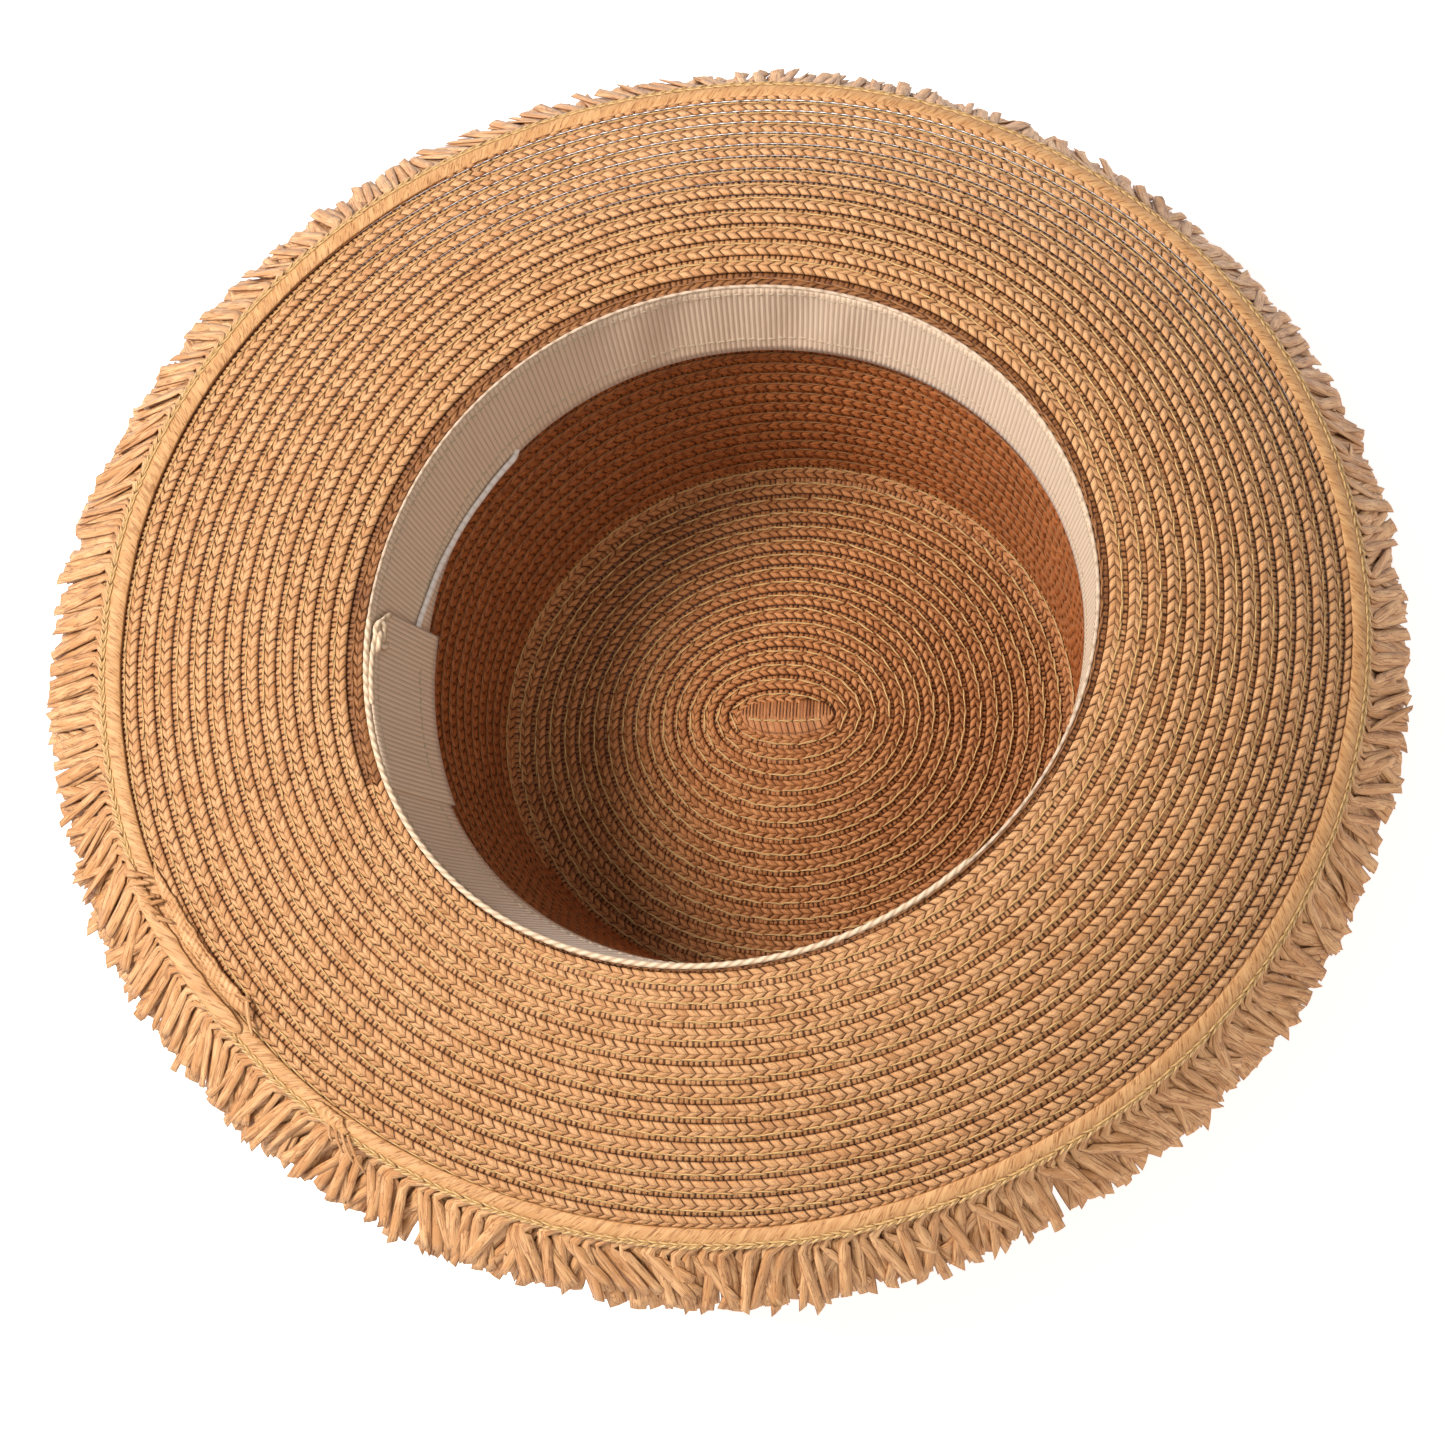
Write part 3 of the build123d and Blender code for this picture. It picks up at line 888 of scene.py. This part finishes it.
def round_band(name, start, width, base, dome, material, stands_for):
    """A domed band that runs all the way round, from one distance along the profile."""
    pieces, section = 900, 10
    mesh, column, row = flat_grid(pieces, section)
    angle = 2 * pi * column / pieces
    turn = 2 * pi * row / section
    waves = WOBBLE * (np.sin(9 * angle + 1.0) + 0.6 * np.sin(23 * angle) + 0.5 * np.sin(57 * angle))
    across = 0.5 - 0.5 * np.cos(turn)
    distance = start + across * width + waves
    point, _, _, off = hat_frame(distance, angle)
    sunk = 0.5 * np.clip(np.cos(turn), 0.0, 1.0)
    rise = base + np.where(np.sin(turn) >= 0, dome, 0.35) * np.sin(turn) - sunk
    move_vertices(mesh, point + off * rise[:, None])
    set_uv(mesh, np.stack([column / pieces * EDGE_ROUND / 3.0, row / section * 2.0 + 0.001], -1))
    sew_up(mesh, cap=False)
    return add_piece(name, mesh, material, stands_for)


round_band("trim_header_strip", TRIM - 1.2, 5.1, 0.50, 0.70, header_straw, ["trim_header"])


# %% Chain stitch
def chain_stitch(name, distance, pitch, lean):
    count = int(EDGE_ROUND / pitch)
    angle = 2 * pi * (np.arange(count) + dice.uniform(-0.15, 0.15, count)) / count
    point, out, way, off = hat_frame(distance + dice.normal(0, 0.08, count), angle)
    way = unit(way + out * (lean + dice.normal(0, 0.08, count))[:, None])
    point = point + off * 0.95
    length = dice.uniform(3.4, 4.6, count)
    return stitches(name, point, way, off, length, 1.05, 0.75, gold_thread,
                    ["trim_stitching"])


chain_stitch("chain_stitch_inner", HEADER_END - 0.35, 2.7, 0.26)
chain_stitch("chain_stitch_outer", HEADER_END + 0.35, 2.7, -0.26)


# %% [markdown]
# ## Fringe
# Each strand is a strip of folded paper that leaves the binding aslant, bends, and hangs down over the brim's
# edge. Strands differ in width, lean and length, and they cross in layers. A strand is a small grid, bent and given
# its thickness by solidify, so that it has two faces and edges like real paper.


# %% Fringe
STRAND_STEPS, STRAND_WIDTHS = 9, 2
STRAND_LENGTH, STRAND_HALF_WIDTH, PAPER = 22.6, 1.45, 0.25
BEND_SPAN = 0.14


def one_strand(bm):
    bmesh.ops.create_grid(bm, x_segments=STRAND_STEPS, y_segments=STRAND_WIDTHS, size=0.5, calc_uvs=True)


def strand_grids(count):
    """Many flat strands: their mesh, and for each vertex how far along and to which side it is."""
    mesh = many_of(one_strand, count)
    local = vertex_places(mesh).reshape(count, -1, 3)
    return mesh, local[:, :, 0] + 0.5, local[:, :, 1] * 2


def paper_thickness(mesh):
    rework(mesh, lambda bm: bmesh.ops.solidify(bm, geom=list(bm.faces), thickness=PAPER * MM))


def fringe(name, count, start, base, root_lean, tip_lean, spread, broad, stands_for=()):
    """One layer of strands all round the edge. Leans are in radians, towards the way round."""
    mesh, along, side = strand_grids(count)
    angle = 2 * pi * (np.arange(count) + dice.uniform(-0.3, 0.3, count)) / count
    length = np.clip(dice.normal(STRAND_LENGTH, 1.2, count), 17.0, 26.0) + 2.2 * turned_away(angle, 195, 50)
    width = np.clip(dice.normal(STRAND_HALF_WIDTH, 0.25, count), 0.85, 2.0) * broad
    mood = 0.22 * np.sin(7 * angle + base) + 0.18 * np.sin(17 * angle + 2.0)
    crossing = turned_away(angle, 285, 45) + 0.6 * turned_away(angle, 10, 50)
    lean_root = root_lean + dice.normal(0, 0.12, count)
    lean_tip = tip_lean + mood + dice.normal(0, spread, count) * (0.7 + 1.1 * crossing)
    bend_at = dice.uniform(0.14, 0.24, count)
    roll_tip = dice.normal(0, 0.24, count)
    curl = dice.normal(-0.2, 0.6, count)
    cut = dice.normal(0, 0.7, count)
    stagger = base + 0.35 * (np.arange(count) % 3)

    point, out, way, _ = hat_frame(start, angle)
    away = unit(out * [1.0, 1.0, 0.0])
    flare = 13.2 - 3.2 * np.cos(angle) - 3.0 * np.clip(np.sin(angle), 0.0, 1.0)
    fall = 15.0 + 3.0 * np.cos(angle) + 1.0 * np.clip(np.sin(angle), 0.0, 1.0)
    down = unit(away * flare[:, None] - np.outer(fall, [0.0, 0.0, 1.0]))
    face = np.cross(down, way)

    order = np.rint(along * STRAND_STEPS).astype(int)
    stations = np.arange(STRAND_STEPS + 1) / STRAND_STEPS
    bent = np.clip((stations[None] - bend_at[:, None]) / BEND_SPAN, 0.0, 1.0)
    leans = lean_root[:, None] * (1 - bent) + lean_tip[:, None] * bent
    step = length[:, None] / STRAND_STEPS
    nought = np.zeros((count, 1))
    forward = np.concatenate([nought, np.cumsum(np.cos(leans[:, 1:]) * step, 1)], 1)
    sideways = np.concatenate([nought, np.cumsum(np.sin(leans[:, 1:]) * step, 1)], 1)
    rows = np.arange(count)[:, None]
    lean, forward, sideways = leans[rows, order], forward[rows, order], sideways[rows, order]

    roll = roll_tip[:, None] * along**1.5
    taper = (1 - 0.6 * np.clip(along - 0.85, 0.0, 1.0)) * (0.55 + 0.45 * np.clip(along / 0.3, 0.0, 1.0))
    wide = side * width[:, None] * taper
    fold = -0.12 * np.abs(side) * width[:, None]
    forward = forward - wide * np.cos(roll) * np.sin(lean) + cut[:, None] * side * (order == STRAND_STEPS)
    sideways = sideways + wide * np.cos(roll) * np.cos(lean)
    lifted = stagger[:, None] + fold + wide * np.sin(roll) + curl[:, None] * along**2
    places = (
        point[:, None]
        + down[:, None] * forward[:, :, None]
        + way[:, None] * sideways[:, :, None]
        + face[:, None] * lifted[:, :, None]
    )
    move_vertices(mesh, places.reshape(-1, 3))
    number = np.arange(count)[:, None] + 0.0 * along
    set_uv(mesh, np.stack([(along * length[:, None] / 3.0).ravel(), (number + 0.5 + side * 0.45).ravel()], -1))
    paper_thickness(mesh)
    return add_piece(name, mesh, fringe_straw, stands_for)


fringe("fringe_strands_upper", 500, BRAID_EDGE - 1.4, 0.1, -1.05, 0.22, 0.12, 1.0, ["fringe_upper"])
fringe("fringe_strands_middle", 500, BRAID_EDGE - 1.6, -0.7, 0.85, -0.05, 0.20, 1.1)
fringe("fringe_strands_lower", 500, BRAID_EDGE - 2.0, -1.6, -0.40, 0.08, 0.12, 1.45, ["fringe_lower"])

# %% [markdown]
# ## Sweatband
# A grosgrain ribbon lines the rim, sewn near both of its edges. It is a sheet held stretched by its stitches, so a
# grid is bent round the inside of the wall, with a slight ripple where the ribbon is eased in.

# %% Sweatband
RIBBON_TOP, RIBBON_WIDTH, RIBBON_LENGTH = 0.7, 27.0, 570.0
CLOTH = 0.6
LAP_FROM, LAP_TO, LAP_LENGTH = 184.0, 216.0, 50.0


def ribbon_rise(angle, share):
    """How far the ribbon stands off the wall: a little at the rim, and more at its lower edge."""
    sag = 0.9 + 3.0 * turned_away(angle, 195, 42) + 1.1 * turned_away(angle, 100, 45)
    strength = 0.20 + 0.75 * turned_away(angle, 100, 28)
    wave = np.sin(19 * angle) + 0.7 * np.sin(31 * angle + 1.0)
    return 0.5 + sag * share**1.3 + strength * wave * 0.5 * np.sin(np.clip(share, 0, 1) * pi) ** 0.7


def ribbon_frame(depth, angle):
    return hat_frame(RIM - depth, angle)


def depth_share(depth):
    return (depth - RIBBON_TOP) / RIBBON_WIDTH


def lap_angle(part):
    """The angle, in radians, at a share along the lap."""
    return radians(LAP_FROM) + radians(LAP_TO - LAP_FROM) * part


def lap_top(part):
    """The lap's outer corner is drawn in towards the middle of the band."""
    return RIBBON_TOP + 7.5 * np.exp(-part / 0.09)


def lap_lift(part):
    """The lap lies on the ribbon, and its free end stands off a little."""
    return 1.6 * (1 - part) ** 0.7 + 0.45


def ribbon(name, angle, top, bottom, columns, extra, length, stands_for, closed=False):
    """A strip of grosgrain. Angle, top, bottom and extra are functions of the share along it."""
    rows = 12
    mesh, column, row = flat_grid(columns, rows)
    part, share = column / columns, row / rows
    turn = angle(part, share)
    depth = top(part) + (bottom - top(part)) * share
    point, _, _, off = ribbon_frame(depth, turn)
    rise = ribbon_rise(turn, depth_share(depth)) + extra(part)
    move_vertices(mesh, point + off * rise[:, None])
    set_uv(mesh, np.stack([part * length, share], -1))
    if closed:
        sew_up(mesh, cap=False)
    piece = add_piece(name, mesh, grosgrain, stands_for)
    thick = piece.modifiers.new("cloth_thickness", "SOLIDIFY")
    thick.thickness = CLOTH * MM
    thick.offset = 0.0
    return piece


sweatband = ribbon(
    "sweatband_ribbon",
    lambda part, share: 2 * pi * part,
    lambda part: RIBBON_TOP + 0 * part,
    RIBBON_TOP + RIBBON_WIDTH,
    480,
    lambda part: 0 * part,
    RIBBON_LENGTH,
    ["sweatband"],
    closed=True,
)

# %% Lap of the ribbon
# Its free end is cut a little aslant.
lap = ribbon(
    "sweatband_lap_end",
    lambda part, share: lap_angle(part) - 0.03 * share * (1 - part),
    lap_top,
    RIBBON_TOP + RIBBON_WIDTH + 1.2,
    60,
    lap_lift,
    LAP_LENGTH,
    ["sweatband_lap"],
)


# %% Ribbon stitching
RIM_ROUND, RIBBON_STITCH_PITCH = 560.0, 2.7


def ribbon_stitches(name, depth):
    count = int(RIM_ROUND / RIBBON_STITCH_PITCH)
    angle = 2 * pi * np.arange(count) / count
    point, out, way, off = ribbon_frame(depth + dice.normal(0, 0.1, count), angle)
    rise = ribbon_rise(angle, depth_share(depth)) + CLOTH / 2 + 0.12
    on_lap = turned_away(angle, (LAP_FROM + LAP_TO) / 2 + 1.0, 11.0) > 0.37
    share = np.clip((np.degrees(angle) - LAP_FROM) / (LAP_TO - LAP_FROM), 0.0, 1.0)
    rise = rise + on_lap * lap_lift(share)
    way = unit(way + out * dice.normal(0.12, 0.05, count)[:, None])
    point = point + off * rise[:, None]
    return stitches(name, point, way, off, 2.0, 0.5, 0.4, cream_thread, ["sweatband_stitching"])


ribbon_stitches("ribbon_stitches_upper", 3.4)
ribbon_stitches("ribbon_stitches_lower", 22.4)


# %% [markdown]
# ## Cords
# A corded edge finishes the ribbon at the rim, and a flat white cord runs on the ribbon's face for a short way
# before it slips under the lap. Both are grids rolled into tubes along a line on the hat's surface.


# %% Cord helper
def line_directions(line, closed):
    if closed:
        return unit(np.roll(line, -1, 0) - np.roll(line, 1, 0))
    return unit(np.gradient(line, axis=0))


def rolled_cord(name, line, off, half_wide, half_high, material, closed=False, stands_for=(), sides=10,
                plies=0, turns=0.0):
    """A tube along a line of points. Plies give it the twisted outline of a rope."""
    steps = len(line) if closed else len(line) - 1
    mesh, column, row = flat_grid(steps, sides)
    at = column % len(line)
    way = line_directions(line, closed)
    side = unit(np.cross(off, way))
    lift = np.cross(way, side)
    turn = 2 * pi * row / sides
    lengths = np.concatenate([[0.0], np.cumsum(np.linalg.norm(np.diff(line, axis=0), axis=1))])
    whole = lengths[-1] + (np.linalg.norm(line[0] - line[-1]) if closed else 0.0)
    print(name, "is", round(float(whole), 1), "mm long")
    along = np.where(column == len(line), whole, lengths[at])
    swell = 1.0 + (0.08 * np.cos(plies * turn - 2 * pi * turns * along / whole) if plies else 0.0)
    end = np.ones(len(column))
    if not closed:
        end = np.clip(np.minimum(column, steps - column) / 1.5, 0.25, 1.0) ** 0.5
    wide = np.broadcast_to(half_wide, len(line))[at] * swell * end
    high = np.broadcast_to(half_high, len(line))[at] * swell * end
    across, up = (np.cos(turn) * wide)[:, None], (np.sin(turn) * high)[:, None]
    move_vertices(mesh, line[at] + side[at] * across + lift[at] * up)
    set_uv(mesh, np.stack([along / 3.0, row / sides], -1))
    sew_up(mesh, cap=not closed)
    return add_piece(name, mesh, material, stands_for)


# %% Corded edge
EDGE_DEPTH = 0.35


def corded_edge(name, first, last, radius, lift, material):
    """A cord along the ribbon's rim edge between two angles in degrees."""
    angle = np.radians(np.linspace(first, last, int((last - first) * 2.5)))
    point, _, _, off = ribbon_frame(EDGE_DEPTH, angle)
    rolled_cord(name, point + off * lift, off, radius, radius, material, stands_for=["selvedge_cord"],
                sides=12, plies=2, turns=(last - first) * 0.53)


corded_edge("corded_edge_thick", 186.5, 322.0, 0.76, 0.80, cream_cord)
corded_edge("corded_edge_fine", 320.0, 548.0, 0.42, 0.55, grosgrain)

# %% Lap's corded edge
# It runs in from the rim along the lap's drawn-in corner.
lap_part = np.linspace(0.0, 0.55, 60)
lap_turn, lap_depth = lap_angle(lap_part), lap_top(lap_part)
lap_point, _, _, lap_off = ribbon_frame(lap_depth, lap_turn)
lap_rise = ribbon_rise(lap_turn, depth_share(lap_depth)) + lap_lift(lap_part) + 0.05
rolled_cord("lap_corded_edge", lap_point + lap_off * lap_rise[:, None], lap_off, 0.8, 0.7, cream_cord,
            sides=12, plies=2, turns=12)

# %% Knot in the corded edge
knot_turn = np.linspace(0.0, 2 * pi, 90, endpoint=False)
knot_frame = ribbon_frame(np.array([3.4]), np.array([radians(189.6)]))
knot_middle, knot_out, knot_way, knot_off = (direction[0] for direction in knot_frame)
knot_line = (
    knot_middle
    + knot_off * 3.1
    + np.outer(np.sin(knot_turn) + 2 * np.sin(2 * knot_turn), knot_way) * 1.45
    + np.outer(np.cos(knot_turn) - 2 * np.cos(2 * knot_turn), knot_out) * 0.80
    + np.outer(-np.sin(3 * knot_turn), knot_off) * 0.7
)
rolled_cord("edge_knot", knot_line, np.tile(knot_off, (90, 1)) + 0.01, 0.85, 0.8, cream_cord,
            closed=True, stands_for=["selvedge_knot"], sides=8)

# %% Drawcord
# The cord comes out of its channel, lies on the ribbon, and goes under the lap.
CORD_FROM, CORD_TO, CHANNEL_DEPTH = 143.0, 187.5, 25.4
cord_share = np.linspace(0.0, 1.0, 70)
cord_angle = radians(CORD_FROM) + radians(CORD_TO - CORD_FROM) * cord_share
cord_depth = np.interp(cord_share, [0.0, 0.25, 0.5, 0.8, 1.0], [27.0, 26.6, 25.2, 22.4, 20.0])
cord_point, _, _, cord_off = ribbon_frame(cord_depth, cord_angle)
cord_rise = ribbon_rise(cord_angle, depth_share(cord_depth)) + CLOTH / 2 + 0.85
cord_rise = cord_rise - 1.5 * np.clip(1 - cord_share / 0.05, 0.0, 1.0)
rolled_cord("drawcord_tape", cord_point + cord_off * cord_rise[:, None], cord_off, 1.05, 0.60, white_tape,
            stands_for=["drawcord"])
hidden_angle = np.linspace(0.0, 2 * pi, 400, endpoint=False)
hidden_point, _, _, hidden_off = ribbon_frame(CHANNEL_DEPTH, hidden_angle)
hidden_rise = ribbon_rise(hidden_angle, depth_share(CHANNEL_DEPTH)) - CLOTH / 2 - 0.25
rolled_cord("drawcord_behind_ribbon", hidden_point + hidden_off * hidden_rise[:, None], hidden_off, 0.9, 0.2,
            white_tape, closed=True, sides=6)

# %% [markdown]
# ## Where the braid and the trim end
# At the lower left the braid's pleated end is turned in beside the binding, and the binding's own end lies over
# its start, with a few frayed strands standing out of the join. The pleats are a rolled grid whose height goes up
# and down with every other column.


# %% Ends that lie on the brim
def lying_strip(name, angles, middles, half_wide, base, dome, pleats, ripple, material, stands_for=()):
    """A strip with rounded ends on the brim, plain or pleated across, between two angles in degrees."""
    steps, section = pleats * 4, 12
    mesh, column, row = flat_grid(steps, section)
    part = column / steps
    turn = 2 * pi * row / section
    body = np.clip(np.minimum(part / 0.30, (1 - part) / 0.045), 0.03, 1.0) ** 0.5
    pleat = np.where(np.sin(turn) > 0.1, ripple * np.cos(column * pi / 2), 0.0)
    uneven = 0.18 * np.sin(part * 31.0) + 0.12 * np.sin(part * 57.0 + 1.0)
    distance = TRIM + middles[0] + (middles[1] - middles[0]) * part
    distance = distance - (half_wide + uneven) * np.cos(turn) * body
    slant = -0.010 * np.cos(turn) * (ripple > 0)
    angle = radians(angles[0]) + radians(angles[1] - angles[0]) * part + slant
    point, _, _, off = hat_frame(distance, angle)
    rise = base + np.where(np.sin(turn) >= 0, dome, 0.4) * np.sin(turn) * body + pleat * body
    move_vertices(mesh, point + off * rise[:, None])
    set_uv(mesh, np.stack([part * pleats * 0.6, row / section * 2.0 + 0.001], -1))
    sew_up(mesh)
    return add_piece(name, mesh, material, stands_for)


lying_strip("braid_end_tail", (213.0, 230.3), (-1.4, -3.9), 2.3, 0.75, 0.95, 28, 0.34, fringe_straw,
            ["braid_end"])
lying_strip("binding_end", (211.0, 231.6), (4.6, 1.6), 2.5, 1.45, 0.75, 14, 0.0, header_straw)
lying_strip("binding_splice", (241.2, 245.0), (1.9, 1.9), 2.3, 1.35, 0.8, 5, 0.18, header_straw,
            ["trim_splice"])


# %% Frayed strands at the joins
STEP_AHEAD = 0.02


def loose_strands(name, strands):
    """Strands between two places on the hat: angle, distance past the trim, both again, half width, arch."""
    table = np.array(strands, float)
    mesh, along, side = strand_grids(len(table))
    from_angle, from_place, to_angle, to_place, width, arch = (table[:, i][:, None] for i in range(6))
    angle = np.radians(from_angle + (to_angle - from_angle) * along)
    distance = TRIM + from_place + (to_place - from_place) * along
    point, _, _, off = hat_frame(distance, angle)
    ahead = hat_point(
        distance + (to_place - from_place) * STEP_AHEAD, angle + np.radians(to_angle - from_angle) * STEP_AHEAD
    )
    path = unit(ahead - point)
    across = np.cross(off, path)
    taper = 1 - 0.5 * along**3
    rise = 1.7 + arch * np.sin(np.clip(along * 1.1, 0, 1) * pi * 0.8) - 0.3 * np.abs(side)
    places = point + across * (side * width * taper)[..., None] + off * rise[..., None]
    move_vertices(mesh, places.reshape(-1, 3))
    number = np.arange(len(table))[:, None] + 0.0 * along
    set_uv(mesh, np.stack([(along * 2.5).ravel(), (number + 0.5 + side * 0.45).ravel()], -1))
    paper_thickness(mesh)
    return add_piece(name, mesh, fringe_straw)


frayed = [(229.0, -6.8, 232.6, -0.8, 0.7, 0.8), (228.2, -5.0, 229.8, -7.0, 0.5, 0.5)]
for number in range(16):
    start = 212.2 + 0.33 * number
    inwards = dice.uniform(-1.5, 2.5)
    finish_angle = start + dice.uniform(0.2, 1.8)
    half_width, arch = dice.uniform(0.5, 0.9), dice.uniform(0.6, 1.8)
    frayed.append((start, 6.0 - 0.12 * number, finish_angle, inwards, half_width, arch))
for number in range(4):
    frayed.append((243.5 + number * 0.7, 3.5, 245.0 + number * 1.4, 7.5 + number, 0.45, 1.2))
loose_strands("frayed_ends", frayed)

# %% [markdown]
# ## Floor and light
# The hat lies on a plain white floor under soft light. A large lamp on the left gives the brim its bright side and
# leaves the far left of the crown's inside in shade, and the white world fills in the rest.


# %% Floor
def floor():
    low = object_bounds()[0][2]
    bench = Bench("floor_white", roughness=0.9, specular=0.1)
    bench.shader.inputs["Emission Color"].default_value = (1.0, 1.0, 1.0, 1.0)
    bench.shader.inputs["Emission Strength"].default_value = 0.62
    material = bench.finish((0.93, 0.93, 0.93))
    bm = bmesh.new()
    bmesh.ops.create_grid(bm, x_segments=2, y_segments=2, size=3.0)
    bmesh.ops.translate(bm, verts=bm.verts, vec=(0.0, 0.0, low - 0.0002))
    mesh = bpy.data.meshes.new("floor")
    bm.to_mesh(mesh)
    bm.free()
    mesh.materials.append(material)
    piece = bpy.data.objects.new("floor", mesh)
    bpy.context.collection.objects.link(piece)
    piece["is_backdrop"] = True


floor()


# %% Lights
def soft_lamp(name, place, aim, size, power, colour):
    data = bpy.data.lights.new(name, "AREA")
    data.shape = "DISK"
    data.size = size
    data.energy = power
    data.color = colour
    lamp = bpy.data.objects.new(name, data)
    bpy.context.collection.objects.link(lamp)
    back = unit(np.array(place) - np.array(aim))
    right = unit(np.cross([0.0, 0.0, 1.0], back))
    turned = np.eye(4)
    turned[:3, 0], turned[:3, 1], turned[:3, 2] = right, np.cross(back, right), back
    turned[:3, 3] = place
    lamp.matrix_world = Matrix(turned.tolist())


LAMP_AIM = (0.0, 0.0, 0.06)
soft_lamp("key_lamp", (-1.25, 0.12, 1.72), LAMP_AIM, 0.75, 57.0, (1.0, 0.97, 0.93))
soft_lamp("fill_lamp", (0.9, -1.3, 1.9), LAMP_AIM, 1.4, 15.0, (1.0, 0.92, 0.82))
world = bpy.data.worlds.new("studio")
world.use_nodes = True
world.node_tree.nodes["Background"].inputs["Color"].default_value = (1.0, 1.0, 1.0, 1.0)
world.node_tree.nodes["Background"].inputs["Strength"].default_value = 0.36
bpy.context.scene.world = world
bpy.context.scene.view_settings.view_transform = "Standard"
